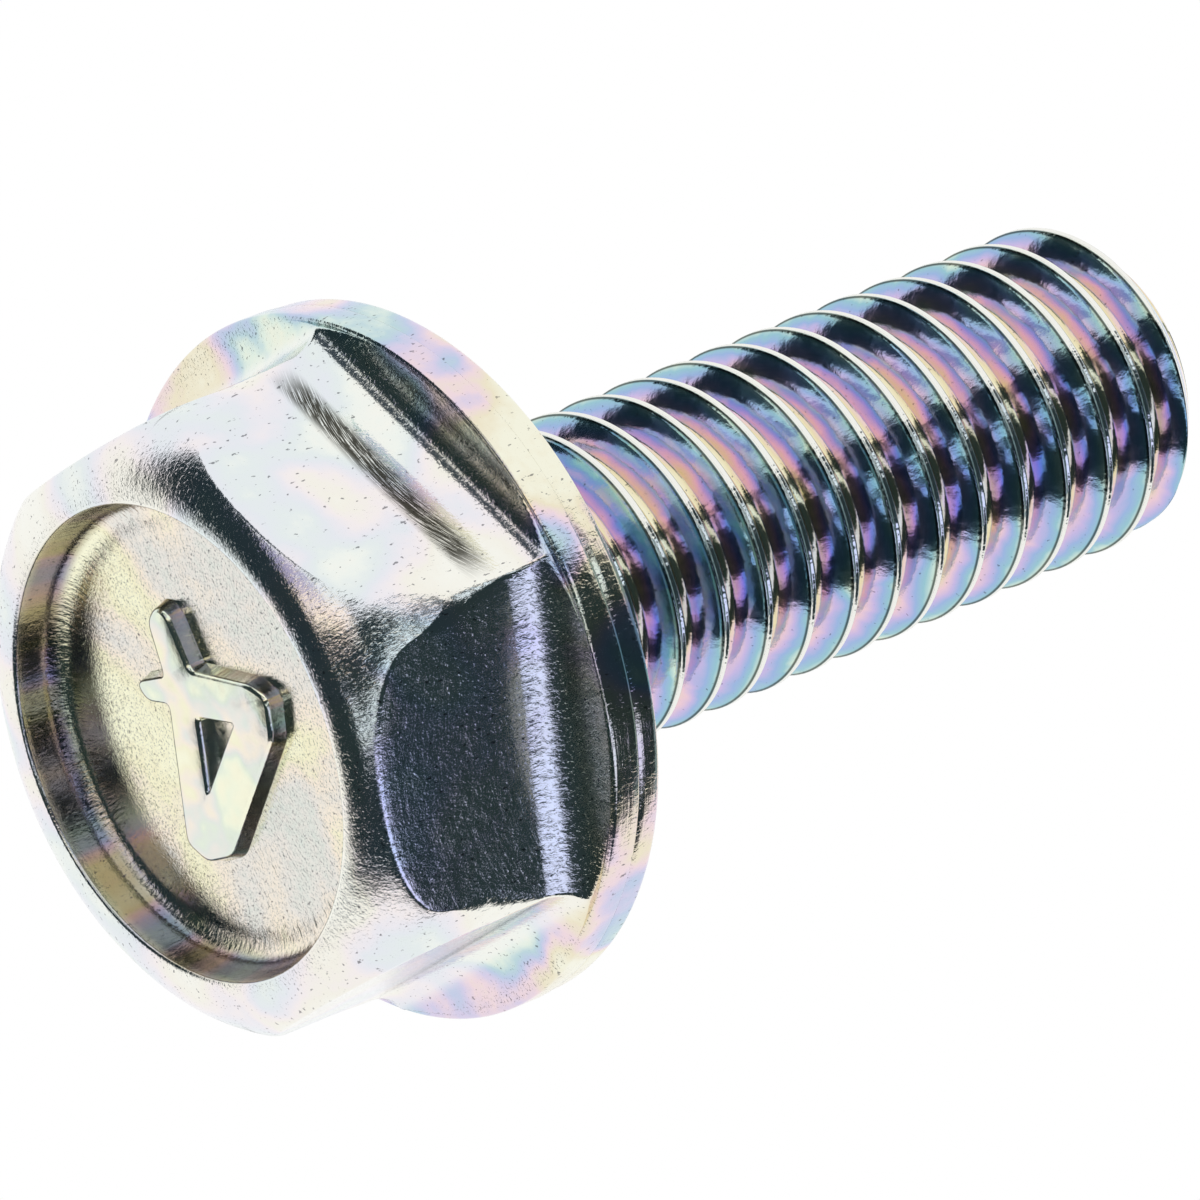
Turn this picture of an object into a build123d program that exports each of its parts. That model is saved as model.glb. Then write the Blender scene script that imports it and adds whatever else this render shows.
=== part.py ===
from build123d import *
import os
from math import ceil, cos, pi, radians, sin, tan

# Flange bolt M6 x 1 x 16: one piece of steel, cold headed, with a rolled thread.
# It stands on its head. The head's rim is at z = 0, the shank rises along +Z to the tip,
# the axis is Z and one corner of the hexagon points along +X. Sizes are in millimetres
# and angles in degrees.

# Hexagon
across_flats = 10.0
corner_rounding = 0.93
ridge_rounding = 0.05
fade_start = 2.3

# Dished recess, rim and nose, at the end of the head
recess_radius = 4.2
recess_depth = 0.9
recess_draft = 7.0
recess_floor_bevel = 0.22
rim_width = 0.3
nose_reach = 1.05
nose_height = 1.4
nose_bands = 4

# Sweep from each flat out to the flange
sweep_radius = 1.4
sweep_turn = 22.0
fold_radius = 0.25

# Flange
head_height = 5.3
flange_thickness = 1.1
flange_diameter = 12.5
flange_front_bevel = 0.07
flange_back_bevel = 0.12

# Neck and thread
length_under_head = 16.0
neck_diameter = 5.3
neck_bevel = 0.25
neck_length = 1.9
runout_length = 0.6
thread_diameter = 5.85
pitch = 1.0
crest_flat = 0.21
flank_angle = 30.0
overlap = 0.08
tip_chamfer = 0.625

# Heights along the axis
flange_front = head_height - flange_thickness
neck_end = head_height + neck_length
thread_start = neck_end + runout_length
tip_height = head_height + length_under_head

# Distances from the axis
flat_distance = across_flats / 2
corner_distance = flat_distance / cos(pi / 6)
flange_radius = flange_diameter / 2
flange_face_radius = flange_radius - flange_front_bevel
recess_floor_radius = recess_radius - recess_depth * tan(radians(recess_draft))
nose_start = recess_radius + rim_width
neck_radius = neck_diameter / 2
crest_radius = thread_diameter / 2

# The sweep leaves each flat upright, turns slowly, and ends in a tight fold that lies
# flat on the flange's front face.
sweep_rise = sweep_radius * sin(radians(sweep_turn))
fold_turn = 90 - sweep_turn
fold_rise = fold_radius * (1 - sin(radians(sweep_turn)))
sweep_start = flange_front - fold_rise - sweep_rise

# A 60 degree thread with flat crests and V roots. Cutters and cores run past the surfaces
# that they meet by the overlap.
flank = radians(flank_angle)
groove_half_width = (pitch - crest_flat) / 2
root_radius = crest_radius - groove_half_width / tan(flank)
mouth_radius = crest_radius + overlap
mouth_half_width = groove_half_width + overlap * tan(flank)
groove_start = neck_end - pitch
groove_turns = ceil((tip_height - groove_start) / pitch) + 1

# Top of the hexagon: three bars, each with the sweep along its two long sides, cross
# and meet in the six ridges that run out onto the flange.
with BuildPart() as flare:
    with BuildSketch(Plane.XY.offset(sweep_start)):
        Circle(flange_face_radius)
    extrude(amount=flange_front - sweep_start)
    for turn in (30, 90, 150):
        with BuildSketch(Plane.XZ.rotated((0, 0, turn))):
            with BuildLine() as bar:
                sweep_arc = JernArc((flat_distance, sweep_start), (0, 1), sweep_radius, -sweep_turn)
                fold_arc = JernArc(sweep_arc @ 1, sweep_arc % 1, fold_radius, -fold_turn)
                Line(fold_arc @ 1, (0, flange_front))
                Line(sweep_arc @ 0, (0, sweep_start))
                mirror(bar.line, about=Plane.YZ)
            make_face()
        extrude(amount=flange_radius, both=True, mode=Mode.INTERSECT)

# One turn of the thread's groove: three sides, each ruled between two helices, and two ends.
# The V's root passes +X at the end of the neck.
groove_corners = (
    (root_radius, groove_start),
    (mouth_radius, groove_start - mouth_half_width),
    (mouth_radius, groove_start + mouth_half_width),
)
helices = [
    Edge.make_helix(pitch, pitch, radius, center=(0, 0, height))
    for radius, height in groove_corners
]
sides = [
    Face.make_surface_from_curves(helices[corner - 1], helices[corner])
    for corner in range(len(helices))
]
ends = [Face(Wire.make_polygon([helix @ turn for helix in helices])) for turn in (0, 1)]
groove_turn = Solid(Shell(sides + ends))

# Threaded bar: it swells from the neck to the crests and ends in the tip's chamfer. The
# groove runs through it from below the neck's end to beyond the tip.
with BuildPart() as thread:
    with BuildSketch(Plane.XZ):
        with BuildLine():
            Polyline(
                (0, neck_end),
                (neck_radius, neck_end),
                (crest_radius, thread_start),
                (crest_radius, tip_height - tip_chamfer),
                (crest_radius - tip_chamfer, tip_height),
                (0, tip_height),
                close=True,
            )
        make_face()
    revolve(axis=Axis.Z)
    with Locations([(0, 0, turn * pitch) for turn in range(groove_turns)]):
        add(groove_turn, mode=Mode.SUBTRACT)

with BuildPart() as flange_bolt:
    # Hexagon with rounded upright edges, which narrow to ridges below the sweep.
    with BuildSketch():
        RegularPolygon(corner_distance, 6)
        fillet(vertices(), corner_rounding)
    extrude(amount=fade_start)
    for height, rounding in ((fade_start, corner_rounding), (sweep_start, ridge_rounding)):
        with BuildSketch(Plane.XY.offset(height)):
            RegularPolygon(corner_distance, 6)
            fillet(vertices(), rounding)
    loft(ruled=True)
    add(flare.part)

    # Turned form of the head's end: dished recess, flat rim, and a quarter of an ellipse
    # for the nose, in narrow conical bands. Past the nose it clears the hexagon's corners.
    with BuildSketch(Plane.XZ):
        with BuildLine():
            nose = EllipticalCenterArc(
                center=(nose_start, nose_height),
                x_radius=nose_reach,
                y_radius=nose_height,
                start_angle=270,
                arc_size=90,
                mode=Mode.PRIVATE,
            )
            Polyline(
                (0, recess_depth),
                (recess_floor_radius - recess_floor_bevel, recess_depth),
                (recess_floor_radius, recess_depth - recess_floor_bevel),
                (recess_radius, 0),
                *[nose @ (band / nose_bands) for band in range(nose_bands + 1)],
                (corner_distance, sweep_start),
                (flange_face_radius, sweep_start),
                (flange_face_radius, flange_front),
                (0, flange_front),
                close=True,
            )
        make_face()
    revolve(axis=Axis.Z, mode=Mode.INTERSECT)

    # Flange, bearing face, neck, and the cone on which the roots of the thread rise and
    # fade out.
    with BuildSketch(Plane.XZ):
        with BuildLine():
            Polyline(
                (0, flange_front),
                (flange_face_radius, flange_front),
                (flange_radius, flange_front + flange_front_bevel),
                (flange_radius, head_height - flange_back_bevel),
                (flange_radius - flange_back_bevel, head_height),
                (neck_radius + neck_bevel, head_height),
                (neck_radius, head_height + neck_bevel),
                (neck_radius, neck_end),
                (root_radius - overlap, thread_start),
                (0, thread_start),
                close=True,
            )
        make_face()
    revolve(axis=Axis.Z)
    add(thread.part)

os.makedirs("parts", exist_ok=True)
flange_bolt.part.label = "flange_bolt"
export_step(flange_bolt.part, "parts/flange_bolt.step")
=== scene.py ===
"""Looks of the flange bolt: a finer skin over its CAD solid, zinc plate, and a small photo studio.

The skin is a head turned angle by angle, a rolled thread and a raised numeral. The bolt's lengths
are in millimetres in the CAD model's frame, and become metres as each mesh is made.
"""

from math import cos, pi, radians, sin, tan
from types import SimpleNamespace

import bpy
import numpy as np
from mathutils import Matrix, Vector
from mathutils.geometry import tessellate_polygon


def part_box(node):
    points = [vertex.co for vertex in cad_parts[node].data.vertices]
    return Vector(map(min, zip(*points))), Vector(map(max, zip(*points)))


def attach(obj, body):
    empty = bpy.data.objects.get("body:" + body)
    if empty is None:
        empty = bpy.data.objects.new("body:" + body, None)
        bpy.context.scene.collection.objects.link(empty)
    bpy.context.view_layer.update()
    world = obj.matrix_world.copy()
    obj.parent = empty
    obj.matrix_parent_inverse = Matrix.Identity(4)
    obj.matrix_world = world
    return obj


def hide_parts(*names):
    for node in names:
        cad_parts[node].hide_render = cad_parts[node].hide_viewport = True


NODE = "flange_bolt"
BODY = "root"
MM = 0.001

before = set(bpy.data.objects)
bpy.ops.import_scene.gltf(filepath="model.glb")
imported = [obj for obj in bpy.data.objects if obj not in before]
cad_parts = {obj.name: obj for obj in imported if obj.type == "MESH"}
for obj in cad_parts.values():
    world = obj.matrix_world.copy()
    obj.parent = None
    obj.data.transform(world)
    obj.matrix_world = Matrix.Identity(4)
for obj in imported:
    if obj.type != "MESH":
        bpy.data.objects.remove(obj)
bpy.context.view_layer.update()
low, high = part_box(NODE)

# Angles round the head, in degrees from the middle of a flat: an even spread over the flat,
# and a closer one from there to the corner
FLAT_SPREAD = 24
SECTOR_SPREAD = 30
FLAT_STEPS = 40
CORNER_STEPS = 12

# Rows of points on the head: on its nose, flats, ridges and each arc of the sweep
NOSE_ROWS = 18
FLAT_ROWS = 9
RIDGE_ROWS = 8
ARC_ROWS = 7

# Hexagon
FLAT_DISTANCE = 5.0
CORNER_DISTANCE = FLAT_DISTANCE / cos(pi / 6)
CORNER_ROUNDING = 0.93
RIDGE_ROUNDING = 0.05
FADE_START = 2.3

# Recess, rim and nose
RECESS_DEPTH = 0.9
RECESS_DRAFT = 0.11
RECESS_ROUNDING = 0.45
FLOOR_RINGS = (0.3, 1.0, 1.8, 2.6, 3.2)
RIM_START = 4.2
RIM_END = 4.28
RIM_ROUNDING = 0.06
WALL_TOP = (RIM_START - 0.01, 0.1)
NOSE_REACH = 1.27
NOSE_HEIGHT = 1.4
FLAT_EDGE_ROUNDING = 0.07

# Sweep out to the flange, as arcs of (start, end in degrees from upright, radius)
SWEEP_START = 3.42
SWEEP_ARCS = ((0, 35, 0.8), (35, 70, 0.664), (70, 90, 1.3))

# Flange. The two dies that formed it met on its rim, and left a groove and a small step there.
FLANGE_RADIUS = -low.x / MM
FLANGE_FRONT = 4.2
HEAD_HEIGHT = 5.3
FACE_END = FLANGE_RADIUS - 0.09
RIDGE_END = FLANGE_RADIUS - 0.1
FRONT_EDGE_ROUNDING = 0.085
BACK_EDGE_ROUNDING = 0.15
BACK_RADIUS = FLANGE_RADIUS - 0.03
GROOVE_RADIUS = BACK_RADIUS - 0.012
RIM_PROFILE = (
    (FLANGE_RADIUS, 4.4), (FLANGE_RADIUS, 4.6), (FLANGE_RADIUS, 4.74),
    (FLANGE_RADIUS - 0.006, 4.77), (GROOVE_RADIUS, 4.8), (GROOVE_RADIUS, 4.815),
    (BACK_RADIUS, 4.84), (BACK_RADIUS, 4.95), (BACK_RADIUS, 5.05),
)
BEARING_RINGS = (5.5, 4.6, 3.8, 3.2)

# Neck
NECK_RADIUS = 2.65
NECK_ROUNDING = 0.3
NECK_END = 7.2
NECK_RINGS = (6.0, 6.6, NECK_END + 0.05)

# Thread
THREAD_START = 7.8
TIP = high.z / MM
TIP_CHAMFER = 0.625
CREST_RADIUS = 2.9
ROOT_RADIUS = 2.385
ROOT_ROUNDING = 0.144
FLANK_AT_ROOT = radians(26)
FLANK_AT_CREST = radians(46)
PITCH = 1.0
STEPS_PER_TURN = 120
FLANK_STEPS = 7
ROOT_STEPS = 5
TIP_FACE_RADIUS = CREST_RADIUS - TIP_CHAMFER

# Half a crest, with one of its two lips, as (height over the crest radius, offset)
CREST_LIP = (
    (-0.02, 0.0), (-0.016, 0.02), (-0.003, 0.04), (0.0, 0.055), (-0.008, 0.07), (-0.03, 0.085),
)

# The mesh attribute that holds how far a point is from its crest's middle, in millimetres
ACROSS = "across_the_thread"
ACROSS_ON_TIP_FACE = 0.3

# Numeral: outlines on the recess floor, and the wall as (height, spread beyond the outline)
NUMERAL_OUTLINE = (
    (-0.10, -2.12), (0.25, -2.25), (0.45, -2.05), (0.36, -1.00), (1.69, -0.29), (2.01, 0.06),
    (1.65, 0.68), (-0.84, 1.99), (-1.51, 1.86), (-1.80, 1.43), (-0.55, -0.75), (-1.10, -1.00),
    (-1.15, -1.34), (-0.35, -1.15),
)
NUMERAL_OUTLINE_ROUNDING = 0.16
NUMERAL_COUNTER = ((0.0, -0.32), (-0.68, 0.94), (0.91, 0.12))
NUMERAL_COUNTER_ROUNDING = 0.12
NUMERAL_WALL = (
    (0.93, 0.13), (0.86, 0.09), (0.68, 0.035), (0.63, 0.015), (0.605, -0.015), (0.6, -0.05),
)

# Camera: its place in millimetres, the right, up and forward directions of its frame, its lens
# and sensor in millimetres, and the nearest that it sees, in metres
CAMERA_PLACE = (204.06, 20.96, -143.98)
CAMERA_RIGHT = (0.51489, 0.42780, 0.74288)
CAMERA_UP = (0.31573, -0.90030, 0.29962)
CAMERA_FORWARD = (-0.79700, -0.08028, 0.59862)
LENS = 450
SENSOR_WIDTH = 36
NEAREST_SEEN = 0.01

# Floor, in metres. It lies just below the head, whose rim would flicker in the same plane.
FLOOR_HALF_WIDTH = 1.5
FLOOR_DROP = 0.00002
FLOOR_COLOUR = (0.8, 0.8, 0.8)

# Cards that only reflections show: distance in metres, glow, and stations of (azimuth, lowest,
# highest elevation) in degrees. Azimuth 0 is straight ahead of the camera and 90 to its right,
# and elevation runs up its frame. A dark side lies round the camera, with light strips in it.
CARDS = {
    "dark_side_card": (0.35, (0.02, 0.033, 0.038), (
        (76, -42, 4), (90, -60, 10), (100, -62, 24), (120, -66, 31), (150, -68, 28),
        (180, -68, 20), (205, -65, 13), (222, -62, 12), (238, -58, 14), (252, -50, 50),
        (266, -40, 56), (274, -32, 30), (278, -27, -10), (282, -23, -19),
    )),
    "grey_side_card": (0.36, (0.2, 0.3, 0.34), ((40, 5, 12), (60, -22, 30), (90, -30, 36))),
    "grey_upper_card": (0.36, (0.05, 0.065, 0.08), (
        (200, 25, 29), (215, 24, 34), (240, 20, 38), (254, 20, 44),
    )),
    "lavender_card": (0.34, (0.42, 0.4, 0.56), ((208, 6, 16), (222, -1, 16), (238, 3, 11))),
    "gold_strip": (0.33, (1.1, 1.0, 0.85), (
        (183, 10, 18), (200, 5, 15), (220, -3, 7), (235, -9, -3),
    )),
    "long_strip": (0.33, (0.85, 0.97, 1.1), (
        (120, 17, 27), (150, 4, 14), (180, -16, -8), (205, -28, -22), (226, -28, -21),
    )),
    "cyan_strip": (0.33, (0.78, 0.86, 1.25), (
        (98, -38, -18), (115, -38, -22), (135, -40, -28), (200, -33, -30),
    )),
}
CARD_COLUMNS_PER_STATION = 8
CARD_ROWS = 10

# Colours as they look on a screen, 0 to 255
WHITE_ZINC = (246, 246, 243)
CREAM_ZINC = (250, 250, 222)
THREAD_ZINC = (250, 250, 248)
NUMERAL_ZINC = (250, 250, 226)
WORN_CREST = (240, 240, 234)
# The next colour is painted shade, a dark line along the edges of the thread's crests
CREST_EDGE_SHADE = (44, 42, 40)
# The next colour is painted shade, which darkens the wall of the recess
RECESS_WALL_SHADE = (62, 50, 34)
TORN_METAL = (48, 46, 34)
HEAD_SPECK = (70, 70, 78)
THREAD_SPECK = (60, 62, 74)

# The film's colours as it grows thicker: (position from 0 to 1, red, green, blue)
FILM_COLOURS = (
    (0.0, 240, 238, 205), (0.16, 228, 212, 160), (0.32, 232, 190, 205), (0.46, 186, 168, 222),
    (0.6, 128, 164, 218), (0.74, 122, 184, 200), (0.87, 204, 230, 210), (1.0, 240, 238, 205),
)

# Where the plate looks different on the head: zones by distance from the axis, and fades by
# height
RECESS_ZONE = (-1.0, 4.2)
RECESS_FOOT_ZONE = (3.55, 4.1)
RECESS_WALL_ZONE = (4.0, 4.3)
RIM_ZONE = (6.1, 6.4)
RECESS_FADE = (1.2, 1.0)
FLANGE_FADE = (4.0, 4.15)
NOSE_FADE = (2.2, 0.4)

# On one flat a band of metal is torn: the direction that the flat faces, how nearly a point
# has to face the same way, and the band's heights
TORN_FLAT = (0.866, -0.5, 0)
TORN_FADE = (0.87, 0.93)
TORN_BAND = (2.8, 3.28)

# On the thread, by distance from the crest's middle, and on the numeral, by height
CREST_FADE = (0.07, 0.055)
# Where a dark line of painted shade runs along each crest's edge
CREST_EDGE_ZONE = (0.065, 0.092)
BEADS_ZONE = (-0.05, 0.1)
NUMERAL_WALL_ZONE = (0.63, 0.9)


def steps_after(start, end, count):
    """Even steps from start to end, without the start itself."""
    return np.linspace(start, end, count + 1)[1:]


def sector_angles():
    """Angles round the head: even over the flats, closer together at the six rounded corners."""
    flat = np.linspace(-FLAT_SPREAD, FLAT_SPREAD, FLAT_STEPS + 1)
    corner = steps_after(FLAT_SPREAD, SECTOR_SPREAD, CORNER_STEPS)
    sector = np.concatenate([-corner[::-1][1:], flat, corner])
    middles = range(SECTOR_SPREAD, 360, 2 * SECTOR_SPREAD)
    return radians(1) * np.concatenate([middle + sector for middle in middles])


ANGLES = sector_angles()


def ring(distance, height):
    """A row round the axis: its distance and height, each one number or one for each angle."""
    ones = np.ones_like(ANGLES)
    return np.array([distance * ones, height * ones])


def straight(start, end, count):
    """Rows evenly spaced between two rows."""
    return [start + (end - start) * t for t in np.linspace(0, 1, count + 2)[1:-1]]


def hexagon_reach(distance, rounding):
    """Distance from the axis to a hexagon with rounded corners, one corner at angle 0."""
    off_corner = np.abs((ANGLES + pi / 6) % (pi / 3) - pi / 6)
    off_flat = pi / 6 - off_corner
    centre = (distance - rounding) / cos(pi / 6)
    inside = np.maximum(rounding**2 - (centre * np.sin(off_corner)) ** 2, 0)
    rounded = centre * np.cos(off_corner) + np.sqrt(inside)
    on_flat = distance * np.tan(off_flat) < (distance - rounding) * tan(pi / 6)
    return np.where(on_flat, distance / np.cos(off_flat), rounded)


def curve_through(start, corner, end, steps):
    """Points of the curve that leaves one point for a corner and turns towards another."""
    return [(1 - t) ** 2 * start + 2 * t * (1 - t) * corner + t**2 * end for t in steps]


def blended_corner(before, corner, after, size, count=5):
    """Rows of a small rounding at a corner of each profile, from one side of it to the other."""
    to_before = before - corner
    to_after = after - corner
    start = corner + to_before * np.minimum(1, size / np.linalg.norm(to_before, axis=0))
    end = corner + to_after * np.minimum(1, size / np.linalg.norm(to_after, axis=0))
    return curve_through(start, corner, end, np.linspace(0, 1, count))


def recess_rows():
    """The dished recess from its floor, round its foot and up its wall, to the rim."""
    floor_corner = ring(RIM_START - RECESS_DRAFT, RECESS_DEPTH)
    rim = ring(RIM_START, 0)
    rows = [ring(distance, RECESS_DEPTH) for distance in FLOOR_RINGS]
    rows += blended_corner(ring(0, RECESS_DEPTH), floor_corner, rim, RECESS_ROUNDING, 11)
    rows += straight(rows[-1], ring(*WALL_TOP), 2)
    rows += blended_corner(floor_corner, rim, ring(RIM_END, 0), RIM_ROUNDING)
    return rows + [ring(RIM_END, 0)]


def nose_rows(hexagon):
    """A quarter of an ellipse, then a slow taper, as far as the hexagon."""
    taper = (CORNER_DISTANCE - RIM_END - NOSE_REACH) / (SWEEP_START - NOSE_HEIGHT)
    turn = np.arcsin(np.clip((hexagon - RIM_END) / NOSE_REACH, 0, 1))
    past = np.maximum(hexagon - RIM_END - NOSE_REACH, 0) / taper
    rows = []
    for share in steps_after(0, 1, NOSE_ROWS):
        bent = np.minimum(share * (turn + past), turn)
        rise = np.maximum(share * (turn + past) - turn, 0)
        distance = RIM_END + NOSE_REACH * np.sin(bent) + rise * taper
        rows.append(ring(distance, NOSE_HEIGHT * (1 - np.cos(bent)) + rise))
    return rows


def flat_rows(hexagon, nose_edge):
    """Flats and rounded corners, which narrow to ridges below the sweep."""
    rows = []
    start = nose_edge[1] + FLAT_EDGE_ROUNDING
    for share in steps_after(0, 1, FLAT_ROWS):
        height = start + (FADE_START - start) * share
        rows.append(ring(hexagon, height))
    for share in steps_after(0, 1, RIDGE_ROWS):
        rounding = CORNER_ROUNDING + (RIDGE_ROUNDING - CORNER_ROUNDING) * share
        height = FADE_START + (SWEEP_START - FADE_START) * share
        rows.append(ring(hexagon_reach(FLAT_DISTANCE, rounding), height))
    return rows


def sweep_rows():
    """Sweep and fold out onto the flange's face, in arcs that turn ever flatter."""
    rows = []
    foot, height = FLAT_DISTANCE, SWEEP_START
    for start, end, radius in SWEEP_ARCS:
        for turned in np.radians(steps_after(start, end, ARC_ROWS)):
            distance = foot + radius * (cos(radians(start)) - cos(turned))
            rise = radius * (sin(turned) - sin(radians(start)))
            reach = np.minimum(hexagon_reach(distance, RIDGE_ROUNDING), RIDGE_END)
            rows.append(ring(reach, height + rise))
        foot, height = distance, height + rise
    return rows


def flange_rows(fold):
    """The flange's face and rim, the bearing face and the neck."""
    rows = straight(fold, ring(FACE_END, FLANGE_FRONT), 2)
    face_edge = ring(FLANGE_RADIUS, FLANGE_FRONT)
    rim_end = ring(FLANGE_RADIUS, HEAD_HEIGHT)
    rows += blended_corner(rows[-1], face_edge, rim_end, FRONT_EDGE_ROUNDING, 6)
    rows += [ring(*point) for point in RIM_PROFILE]
    bearing_edge = ring(BACK_RADIUS, HEAD_HEIGHT)
    neck_corner = ring(NECK_RADIUS, HEAD_HEIGHT)
    neck_end = ring(NECK_RADIUS, NECK_END)
    rows += blended_corner(ring(BACK_RADIUS, 0), bearing_edge, neck_corner, BACK_EDGE_ROUNDING, 7)
    rows += [ring(distance, HEAD_HEIGHT) for distance in BEARING_RINGS]
    rows += blended_corner(bearing_edge, neck_corner, neck_end, NECK_ROUNDING, 7)
    return rows + [ring(NECK_RADIUS, height) for height in NECK_RINGS]


def head_rows():
    """Rows of (distance from the axis, height) round the head, from recess floor to neck."""
    hexagon = hexagon_reach(FLAT_DISTANCE, CORNER_ROUNDING)
    nose = nose_rows(hexagon)
    # A small rounding at the edge of the flats takes the place of the nose's last two rows
    rows = recess_rows() + nose[:-2]
    flat_end = ring(hexagon, FADE_START)
    rows += blended_corner(nose[-3], nose[-1], flat_end, FLAT_EDGE_ROUNDING)
    rows += flat_rows(hexagon, nose[-1])
    rows += sweep_rows()
    return rows + flange_rows(rows[-1])


def make_piece(name, points, faces):
    """A smooth mesh that rides on the bolt and stands for its CAD solid."""
    mesh = bpy.data.meshes.new(name)
    mesh.from_pydata([tuple(point) for point in np.asarray(points) * MM], [], faces)
    mesh.update()
    mesh.shade_smooth()
    piece = bpy.data.objects.new(name, mesh)
    bpy.context.scene.collection.objects.link(piece)
    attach(piece, BODY)
    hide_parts(NODE)
    return piece


def make_head():
    """Recess, hexagon, flange and neck as rings of points joined by quads."""
    rows = head_rows()
    count = len(ANGLES)
    points = [
        np.stack([reach * np.cos(ANGLES), reach * np.sin(ANGLES), height], axis=1)
        for reach, height in rows
    ]
    faces = [list(range(count))[::-1]]
    for row in range(len(rows) - 1):
        start = row * count
        for step in range(count):
            after = (step + 1) % count
            faces.append(
                (start + step, start + after, start + count + after, start + count + step)
            )
    return make_piece("head", np.concatenate(points), faces)


def thread_profile():
    """Half a pitch of thread as (distance from the axis, offset from the crest's middle).

    The crest has two fine lips, the flank bulges a little and the root is round.
    """
    crest = [(CREST_RADIUS + height, offset) for height, offset in CREST_LIP]
    top = np.array(crest[-1])
    foot = np.array(
        [
            ROOT_RADIUS + ROOT_ROUNDING * (1 - sin(FLANK_AT_ROOT)),
            PITCH / 2 - ROOT_ROUNDING * cos(FLANK_AT_ROOT),
        ]
    )
    up_from_foot = np.array([cos(FLANK_AT_ROOT), -sin(FLANK_AT_ROOT)])
    down_from_top = np.array([-cos(FLANK_AT_CREST), sin(FLANK_AT_CREST)])
    reach = np.linalg.solve(np.stack([up_from_foot, -down_from_top], axis=1), top - foot)
    bulge = foot + reach[0] * up_from_foot
    flank = curve_through(top, bulge, foot, steps_after(0, 1, FLANK_STEPS))
    root = [
        (
            ROOT_RADIUS + ROOT_ROUNDING * (1 - cos(turn)),
            PITCH / 2 - ROOT_ROUNDING * sin(turn),
        )
        for turn in steps_after(pi / 2 - FLANK_AT_ROOT, 0, ROOT_STEPS)
    ]
    return crest + [tuple(point) for point in flank] + root


def trimmed_radius(reach, height):
    """Distance from the axis, where the run-out at the neck and the tip's chamfer trim it."""
    runout_length = THREAD_START - NECK_END
    runout = NECK_RADIUS + (height - NECK_END) / runout_length * (CREST_RADIUS - NECK_RADIUS)
    chamfer = CREST_RADIUS + (TIP - TIP_CHAMFER - height)
    swell = np.maximum(np.minimum(1, (THREAD_START - height) / runout_length), 0)
    root = ROOT_RADIUS + swell * (NECK_RADIUS - ROOT_RADIUS)
    radius = np.minimum(np.minimum(reach, runout), chamfer)
    radius = np.minimum(np.maximum(radius, root), chamfer)
    radius = np.where(height > TIP, TIP_FACE_RADIUS, radius)
    return np.where(height < NECK_END, NECK_RADIUS, radius)


def strip_faces(height):
    """Quads between the turns' points, without those wholly past the tip or inside the neck."""
    steps, width = height.shape
    faces = []
    for step in range(steps - 1):
        for column in range(width - 1):
            corner = step * width + column
            heights = height[step : step + 2, column : column + 2]
            if heights.min() < TIP and heights.max() > NECK_END:
                faces.append((corner, corner + width, corner + width + 1, corner + 1))
    return faces


def make_shank():
    """The rolled thread: one profile carried along the helix, with a plain face at the tip."""
    half = thread_profile()
    whole = [(reach, -offset) for reach, offset in half[:0:-1]] + half
    reach, offset = np.array(whole).T
    turns = int(TIP - NECK_END) + 2
    angle = np.arange(turns * STEPS_PER_TURN + 1) * 2 * pi / STEPS_PER_TURN
    first_crest = NECK_END - PITCH / 2
    height = first_crest - PITCH + offset[None, :] + (PITCH * angle / (2 * pi))[:, None]
    radius = trimmed_radius(reach[None, :], height)
    x, y = radius * np.cos(angle)[:, None], radius * np.sin(angle)[:, None]
    points = np.stack([x, y, np.clip(height, NECK_END, TIP)], axis=2).reshape(-1, 3)

    end = angle[:STEPS_PER_TURN]
    x, y = TIP_FACE_RADIUS * np.cos(end), TIP_FACE_RADIUS * np.sin(end)
    tip_edge = np.stack([x, y, np.full(STEPS_PER_TURN, TIP)], axis=1)
    faces = strip_faces(height) + [tuple(len(points) + np.arange(STEPS_PER_TURN))]
    piece = make_piece("shank", np.concatenate([points, tip_edge]), faces)

    on_thread = np.tile(np.abs(offset), len(angle))
    on_face = np.full(STEPS_PER_TURN, ACROSS_ON_TIP_FACE)
    across = piece.data.attributes.new(ACROSS, "FLOAT", "POINT")
    across.data.foreach_set("value", np.concatenate([on_thread, on_face]).astype(np.float32))
    return piece


def rounded_outline(corners, size, count=6):
    """A closed outline through straight sides, with each corner blended over a short length."""
    corners = np.array(corners, float)
    before = np.roll(corners, 1, axis=0)
    after = np.roll(corners, -1, axis=0)
    outline = []
    for left, corner, right in zip(before, corners, after):
        to_left = (left - corner) / np.linalg.norm(left - corner)
        to_right = (right - corner) / np.linalg.norm(right - corner)
        start = corner + to_left * min(size, np.linalg.norm(left - corner) / 2)
        end = corner + to_right * min(size, np.linalg.norm(right - corner) / 2)
        outline += curve_through(start, corner, end, np.linspace(0, 1, count))
    return np.array(outline)


def moved_outward(outline, distance):
    """The outline moved to its right-hand side by a distance."""
    along = np.roll(outline, -1, axis=0) - np.roll(outline, 1, axis=0)
    along /= np.linalg.norm(along, axis=1)[:, None]
    return outline + distance * np.stack([along[:, 1], -along[:, 0]], axis=1)


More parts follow.
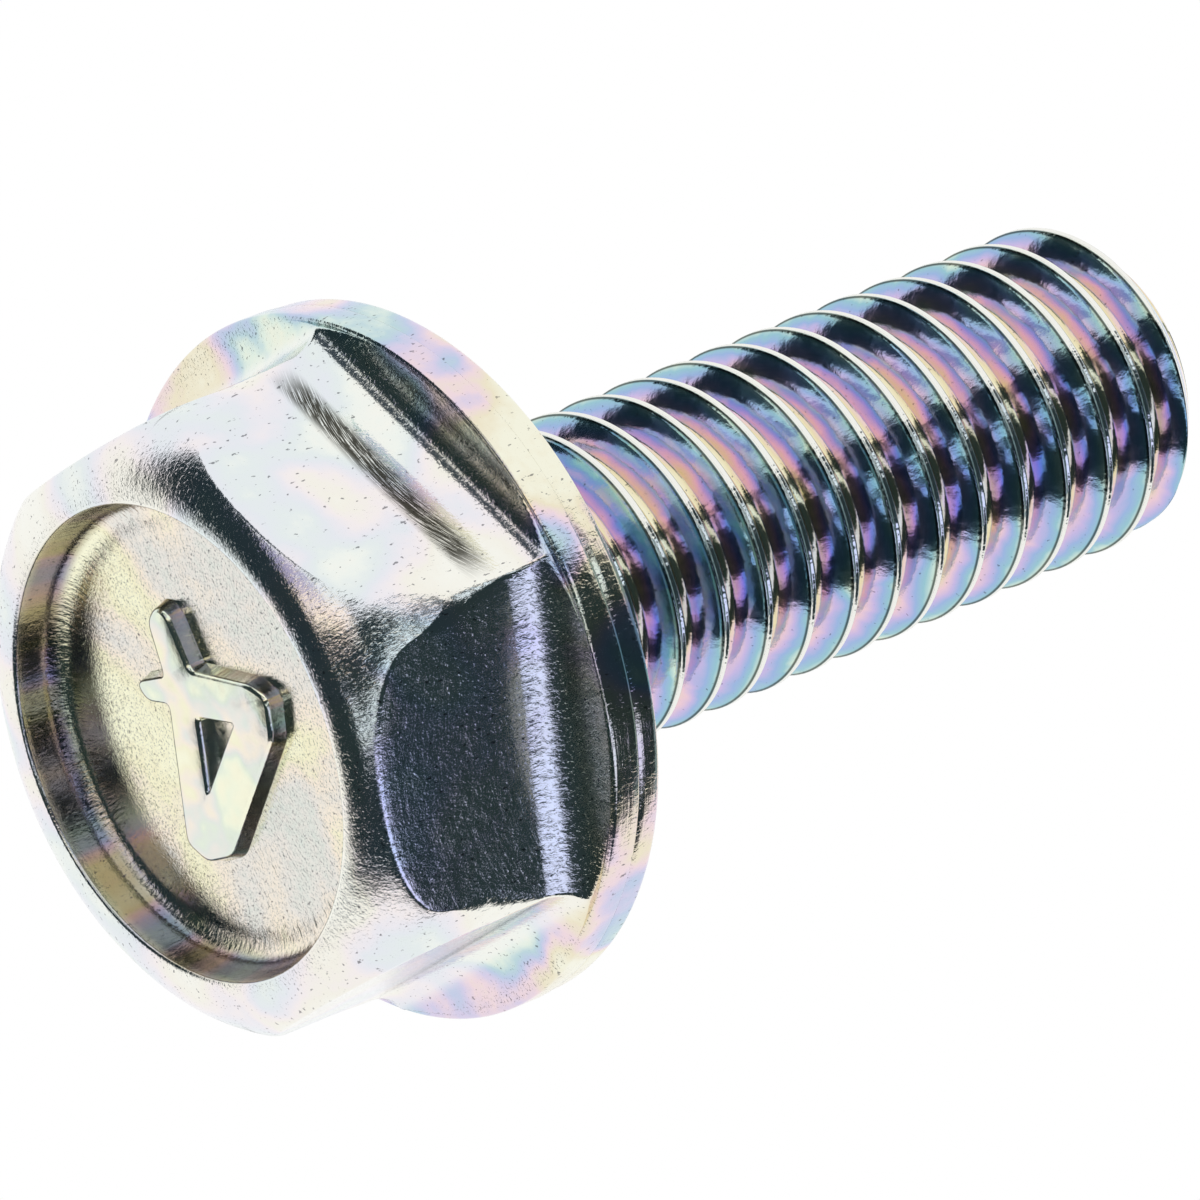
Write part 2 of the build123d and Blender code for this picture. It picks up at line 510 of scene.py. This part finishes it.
def make_numeral():
    """A plain raised 4 on the recess floor, with sloping sides."""
    loops = [
        rounded_outline(NUMERAL_OUTLINE, NUMERAL_OUTLINE_ROUNDING),
        rounded_outline(NUMERAL_COUNTER, NUMERAL_COUNTER_ROUNDING),
    ]
    points, faces, rims = [], [], []
    for loop in loops:
        count = len(loop)
        for row, (height, spread) in enumerate(NUMERAL_WALL):
            start = len(points)
            points += [(x, y, height) for x, y in moved_outward(loop, spread)]
            if row == 0:
                continue
            for step in range(count):
                after = (step + 1) % count
                faces.append(
                    (start - count + after, start - count + step, start + step, start + after)
                )
        rims.append(list(range(start, start + count)))
    rim_points = [[Vector(points[index]) for index in rim] for rim in rims]
    order = rims[0] + rims[1]
    for triangle in tessellate_polygon(rim_points):
        faces.append(tuple(order[index] for index in reversed(triangle)))
    return make_piece("numeral", points, faces)


def make_camera():
    """The photograph's view: far off with a long lens, below the head's rim and looking up."""
    right, up, forward = Vector(CAMERA_RIGHT), Vector(CAMERA_UP), Vector(CAMERA_FORWARD)
    data = bpy.data.cameras.new("camera")
    data.lens = LENS
    data.sensor_width = SENSOR_WIDTH
    data.clip_start = NEAREST_SEEN
    camera = bpy.data.objects.new("camera", data)
    rotation = Matrix((right, up, -forward)).transposed().to_4x4()
    camera.matrix_world = Matrix.Translation(Vector(CAMERA_PLACE) * MM) @ rotation
    bpy.context.scene.collection.objects.link(camera)
    bpy.context.scene.camera = camera
    return camera


def make_sheet(name, points, faces, material):
    """A thin sheet for the studio, which casts no shadow."""
    mesh = bpy.data.meshes.new(name)
    mesh.from_pydata(points, [], faces)
    mesh.materials.append(material)
    sheet = bpy.data.objects.new(name, mesh)
    bpy.context.scene.collection.objects.link(sheet)
    sheet.visible_shadow = False
    return sheet


def plain_material(name, colour, glow=(0, 0, 0)):
    """A matt material, with an even glow where it stands for a lamp."""
    material = bpy.data.materials.new(name)
    material.use_nodes = True
    shader = material.node_tree.nodes["Principled BSDF"]
    shader.inputs["Base Color"].default_value = (*colour, 1)
    shader.inputs["Roughness"].default_value = 0.9
    shader.inputs["Specular IOR Level"].default_value = 0.0
    shader.inputs["Emission Color"].default_value = (*glow, 1)
    shader.inputs["Emission Strength"].default_value = 1.0
    return material


def make_card(name, camera, distance, glow, stations):
    """A curved card round the bolt that only reflections show, placed as the camera sees it."""
    right, up, back = (camera.matrix_world.col[axis].to_3d() for axis in range(3))
    centre = Vector((0, 0, HEAD_HEIGHT * MM))
    azimuths, lows, highs = zip(*stations)
    columns = np.linspace(azimuths[0], azimuths[-1], CARD_COLUMNS_PER_STATION * len(stations))
    points, faces = [], []
    for azimuth in columns:
        lowest = np.interp(azimuth, azimuths, lows)
        highest = np.interp(azimuth, azimuths, highs)
        level = right * sin(radians(azimuth)) - back * cos(radians(azimuth))
        for elevation in np.radians(np.linspace(lowest, highest, CARD_ROWS + 1)):
            points.append(centre + distance * (level * cos(elevation) + up * sin(elevation)))
    for column in range(len(columns) - 1):
        for row in range(CARD_ROWS):
            start = column * (CARD_ROWS + 1) + row
            faces.append((start, start + 1, start + CARD_ROWS + 2, start + CARD_ROWS + 1))
    card = make_sheet(name, points, faces, plain_material(name, (0, 0, 0), glow))
    card.visible_camera = False
    card.visible_diffuse = False


def floor_material():
    """A pale matt top, and nothing at all from below."""
    material = plain_material("floor", FLOOR_COLOUR)
    tree = material.node_tree
    clear = add_node(tree, "BsdfTransparent").outputs["BSDF"]
    from_below = add_node(tree, "NewGeometry").outputs["Backfacing"]
    matt = tree.nodes["Principled BSDF"].outputs["BSDF"]
    either = add_node(tree, "MixShader", {0: from_below, 1: matt, 2: clear})
    tree.links.new(either.outputs["Shader"], tree.nodes["Material Output"].inputs["Surface"])
    return material


def make_floor():
    """A plain pale floor at the head's rim, clear from below, where the photograph looks from."""
    size = FLOOR_HALF_WIDTH
    corners = [(-size, -size, 0), (size, -size, 0), (size, size, 0), (-size, size, 0)]
    floor = make_sheet("floor", corners, [(0, 1, 2, 3)], floor_material())
    floor.location.z = -FLOOR_DROP
    floor.visible_glossy = False


def make_world():
    """White all round."""
    world = bpy.data.worlds.new("studio")
    bpy.context.scene.world = world
    world.use_nodes = True
    world.node_tree.nodes["Background"].inputs["Color"].default_value = (1, 1, 1, 1)


def add_node(tree, kind, sockets=None, **settings):
    """A new node, with its settings, and its sockets set to values or linked to outputs."""
    node = tree.nodes.new("ShaderNode" + kind)
    for name, value in settings.items():
        setattr(node, name, value)
    for name, value in (sockets or {}).items():
        if isinstance(value, bpy.types.NodeSocket):
            tree.links.new(value, node.inputs[name])
        else:
            node.inputs[name].default_value = value
    return node


def calculate(tree, operation, *values):
    """One step of arithmetic on numbers and outputs."""
    return add_node(tree, "Math", dict(enumerate(values)), operation=operation).outputs[0]


def product(tree, first, second):
    """One value times another."""
    return calculate(tree, "MULTIPLY", first, second)


def scaled(tree, value, factor, offset):
    """The value times a factor, plus an offset."""
    return calculate(tree, "MULTIPLY_ADD", value, factor, offset)


def stretched(tree, place, factors):
    """A place with each coordinate times its factor."""
    sockets = {0: place, 1: factors}
    return add_node(tree, "VectorMath", sockets, operation="MULTIPLY").outputs[0]


def noise(tree, place, scale, detail=2.0, distortion=0.0):
    """Cloudy values from 0 to 1, with about so many clouds to a millimetre."""
    sockets = {"Vector": place, "Scale": scale, "Detail": detail, "Distortion": distortion}
    return add_node(tree, "TexNoise", sockets).outputs["Fac"]


def eased(tree, value, start, end, low_value=0.0, high_value=1.0):
    """A smooth step from one value to another as the input runs from start to end."""
    sockets = {
        "Value": value, "From Min": start, "From Max": end,
        "To Min": low_value, "To Max": high_value,
    }
    return add_node(tree, "MapRange", sockets, interpolation_type="SMOOTHSTEP").outputs[0]


def band(tree, value, start, end, softness):
    """1 between start and end, 0 outside."""
    rising = eased(tree, value, start - softness, start + softness)
    falling = eased(tree, value, end - softness, end + softness, 1.0, 0.0)
    return product(tree, rising, falling)


def mixed(tree, factor, first, second):
    """A colour between two, each a screen colour or an output.

    The node's colour sockets share their names with others, so they go by their numbers.
    """
    sockets = {"Factor": factor}
    for index, colour in ((6, first), (7, second)):
        sockets[index] = screen_colour(*colour) if isinstance(colour, tuple) else colour
    return add_node(tree, "Mix", sockets, data_type="RGBA").outputs[2]


def screen_colour(red, green, blue):
    """A colour given as it looks on a screen, 0 to 255, as linear values."""
    return (*((part / 255) ** 2.2 for part in (red, green, blue)), 1)


def film_colour(tree, film):
    """Colour of the zinc under its thin clear film, as the film grows thicker from 0 to 1."""
    node = add_node(tree, "ValToRGB", {"Fac": film})
    stops = node.color_ramp.elements
    while len(stops) < len(FILM_COLOURS):
        stops.new(0.5)
    for stop, (position, *colour) in zip(stops, FILM_COLOURS):
        stop.position = position
        stop.color = screen_colour(*colour)
    return node.outputs["Color"]


def bumped(tree, heights):
    """A normal from several heights in turn, each with its depth in millimetres."""
    normal = None
    for height, depth in heights:
        sockets = {"Height": height, "Strength": 1.0, "Distance": depth * MM}
        if normal:
            sockets["Normal"] = normal
        normal = add_node(tree, "Bump", sockets).outputs["Normal"]
    return normal


def start_plate(name):
    """A metal material, and a point's place on the bolt in millimetres as outputs."""
    material = bpy.data.materials.new(name)
    material.use_nodes = True
    tree = material.node_tree
    tree.nodes["Principled BSDF"].inputs["Metallic"].default_value = 1.0
    metres = add_node(tree, "TexCoord").outputs["Object"]
    place = stretched(tree, metres, (1 / MM, 1 / MM, 1 / MM))
    level = stretched(tree, place, (1, 1, 0))
    length = add_node(tree, "VectorMath", {0: level}, operation="LENGTH")
    direction = add_node(tree, "VectorMath", {0: level}, operation="NORMALIZE")
    return SimpleNamespace(
        material=material,
        tree=tree,
        place=place,
        radius=length.outputs["Value"],
        outward=direction.outputs[0],
        height=add_node(tree, "SeparateXYZ", {0: place}).outputs["Z"],
    )


def finish_plate(plate, colour, roughness, heights):
    """The plate's material, once its colour, roughness and relief are known."""
    tree = plate.tree
    shader = tree.nodes["Principled BSDF"]
    tree.links.new(colour, shader.inputs["Base Color"])
    tree.links.new(roughness, shader.inputs["Roughness"])
    tree.links.new(bumped(tree, heights), shader.inputs["Normal"])
    return plate.material


def round_and_along(plate, along, fineness, stretch):
    """A place for streaks, scaled by fineness round the bolt and by stretch along its profile."""
    tree = plate.tree
    round_it = stretched(tree, plate.outward, (fineness, fineness, 0))
    run = add_node(tree, "CombineXYZ", {"Z": product(tree, along, stretch)}).outputs[0]
    return add_node(tree, "VectorMath", {0: round_it, 1: run}, operation="ADD").outputs[0]


def specked(tree, colour, grain, start, end, amount, speck):
    """The colour with dark specks where the grain runs from start to end."""
    dirt = product(tree, eased(tree, grain, start, end), amount)
    return mixed(tree, dirt, colour, speck)


def head_film(plate, inside, small):
    """Zinc under pale patches of film, creamier inside the recess and stronger on the flange."""
    tree = plate.tree
    patches = eased(tree, noise(tree, plate.place, 0.45, 1.5, 0.3), 0.3, 0.7)
    film = product(tree, patches, scaled(tree, inside, -0.42, 0.95))
    film = scaled(tree, calculate(tree, "SUBTRACT", small, 0.5), 0.2, film)
    on_flange = eased(tree, plate.height, *FLANGE_FADE)
    amount = scaled(tree, on_flange, 0.38, scaled(tree, inside, 0.1, 0.2))
    base = mixed(tree, inside, WHITE_ZINC, CREAM_ZINC)
    return mixed(tree, amount, base, film_colour(tree, film))


def shaded_recess_wall(plate, inside, colour):
    """The colour with painted shade on the recess's wall: a dark brown mixed with the film's
    colours, darkening the wall.
    """
    tree = plate.tree
    on_wall = product(tree, inside, band(tree, plate.radius, *RECESS_WALL_ZONE, 0.08))
    film = eased(tree, noise(tree, plate.outward, 2.6, 3.0), 0.32, 0.68, 0.05, 0.7)
    # Painted shade: dark brown over the film's colours on the recess's wall
    painted_wall_shade = mixed(tree, 0.62, film_colour(tree, film), RECESS_WALL_SHADE)
    return mixed(tree, product(tree, on_wall, 0.85), colour, painted_wall_shade)


def torn_zone(plate):
    """1 in the band below one flat's sweep, where the metal is torn."""
    tree = plate.tree
    sockets = {0: plate.outward, 1: TORN_FLAT}
    facing = add_node(tree, "VectorMath", sockets, operation="DOT_PRODUCT").outputs["Value"]
    in_band = band(tree, plate.height, *TORN_BAND, 0.12)
    return product(tree, in_band, eased(tree, facing, *TORN_FADE))


def head_relief(plate, inside, along, streaks):
    """Orange peel, lengthwise ribs, sparkle on the nose, rings on the rim, and glints."""
    tree = plate.tree
    fillet = product(tree, inside, band(tree, plate.radius, *RECESS_FOOT_ZONE, 0.15))
    grain = noise(tree, round_and_along(plate, along, 5.5, 0.35), 9.0, 4.0)
    ribs = product(tree, grain, calculate(tree, "ADD", fillet, 0.25))
    on_rim = band(tree, plate.radius, *RIM_ZONE, 0.03)
    rings = product(tree, streaks, scaled(tree, on_rim, 1.5, 1.0))
    on_nose = eased(tree, plate.height, *NOSE_FADE)
    sparkle = product(tree, noise(tree, plate.place, 26.0, 3.0), scaled(tree, on_nose, 0.8, 1.0))
    lengthened = stretched(tree, plate.place, (1, 1, 0.45))
    glints = eased(tree, noise(tree, lengthened, 17.0, 2.0), 0.5, 0.72)
    peel = noise(tree, plate.place, 2.2, 2.0)
    return [(peel, 0.006), (ribs, 0.012), (sparkle, 0.0014), (rings, 0.0018), (glints, 0.0018)]


def head_plate():
    """Plate on the head, from the recess to the neck."""
    plate = start_plate("zinc_head")
    tree = plate.tree
    near_rim = eased(tree, plate.height, *RECESS_FADE)
    inside = product(tree, band(tree, plate.radius, *RECESS_ZONE, 0.03), near_rim)
    along = calculate(tree, "SUBTRACT", plate.height, plate.radius)
    streak_place = round_and_along(plate, along, 1.2, 5.0)
    small = noise(tree, plate.place, 4.5, 3.0)

    # The recess's wall gets painted shade here
    colour = shaded_recess_wall(plate, inside, head_film(plate, inside, small))
    grain = noise(tree, stretched(tree, plate.place, (1, 1, 0.5)), 14.0, 2.0)
    colour = specked(tree, colour, grain, 0.66, 0.72, 0.7, HEAD_SPECK)
    zone = torn_zone(plate)
    torn = product(tree, eased(tree, noise(tree, streak_place, 11.0, 5.0), 0.36, 0.5), zone)
    colour = mixed(tree, product(tree, torn, 0.95), colour, TORN_METAL)

    rough = scaled(tree, zone, 0.12, scaled(tree, small, 0.12, 0.06))
    heights = head_relief(plate, inside, along, noise(tree, streak_place, 3.0, 4.0))
    return finish_plate(plate, colour, rough, heights)


def thread_plate():
    """Plate on the rolled thread: the film's colours run from the root up each flank."""
    plate = start_plate("zinc_thread")
    tree = plate.tree
    across = add_node(tree, "Attribute", attribute_name=ACROSS).outputs["Fac"]
    film = scaled(tree, across, -1.25, 0.56)
    film = scaled(tree, noise(tree, plate.place, 0.8, 3.0, 0.5), 0.5, film)
    film = eased(tree, film, 0.0, 1.0)
    colour = mixed(tree, 0.84, THREAD_ZINC, film_colour(tree, film))
    grain = noise(tree, plate.place, 12.0, 2.0)
    colour = specked(tree, colour, grain, 0.68, 0.75, 0.6, THREAD_SPECK)
    colour = mixed(tree, eased(tree, across, *CREST_FADE), colour, WORN_CREST)
    # Painted shade: a dark line along each crest's edge
    painted_edge_shade = product(tree, band(tree, across, *CREST_EDGE_ZONE, 0.012), 0.85)
    colour = mixed(tree, painted_edge_shade, colour, CREST_EDGE_SHADE)

    rolled = noise(tree, round_and_along(plate, plate.height, 2.9, 1.0), 7.0, 4.0)
    on_crest = band(tree, across, *BEADS_ZONE, 0.02)
    beads = product(tree, noise(tree, plate.place, 9.0, 1.0), on_crest)
    fine = noise(tree, plate.place, 24.0, 3.0)
    peel = noise(tree, plate.place, 2.0, 2.0)
    rough = scaled(tree, noise(tree, plate.place, 5.0), 0.14, 0.05)
    heights = [(peel, 0.012), (rolled, 0.003), (fine, 0.0012), (beads, 0.008)]
    return finish_plate(plate, colour, rough, heights)


def numeral_plate():
    """Plate on the numeral: a smooth pale top, and ribs down its walls."""
    plate = start_plate("zinc_numeral")
    tree = plate.tree
    film = eased(tree, noise(tree, plate.place, 0.9, 2.0), 0.28, 0.72)
    colour = mixed(tree, 0.25, NUMERAL_ZINC, film_colour(tree, film))
    on_wall = band(tree, plate.height, *NUMERAL_WALL_ZONE, 0.02)
    ribs = noise(tree, stretched(tree, plate.place, (1, 1, 0.15)), 12.0, 3.0)
    ribs = product(tree, ribs, on_wall)
    fine = noise(tree, plate.place, 24.0, 3.0)
    peel = noise(tree, plate.place, 2.0)
    rough = scaled(tree, noise(tree, plate.place, 5.0), 0.1, 0.08)
    return finish_plate(plate, colour, rough, [(peel, 0.005), (ribs, 0.006), (fine, 0.0008)])


make_head().data.materials.append(head_plate())
make_shank().data.materials.append(thread_plate())
make_numeral().data.materials.append(numeral_plate())
camera = make_camera()
make_floor()
make_world()
for name, card in CARDS.items():
    make_card(name, camera, *card)

bpy.context.scene.view_settings.view_transform = "Standard"
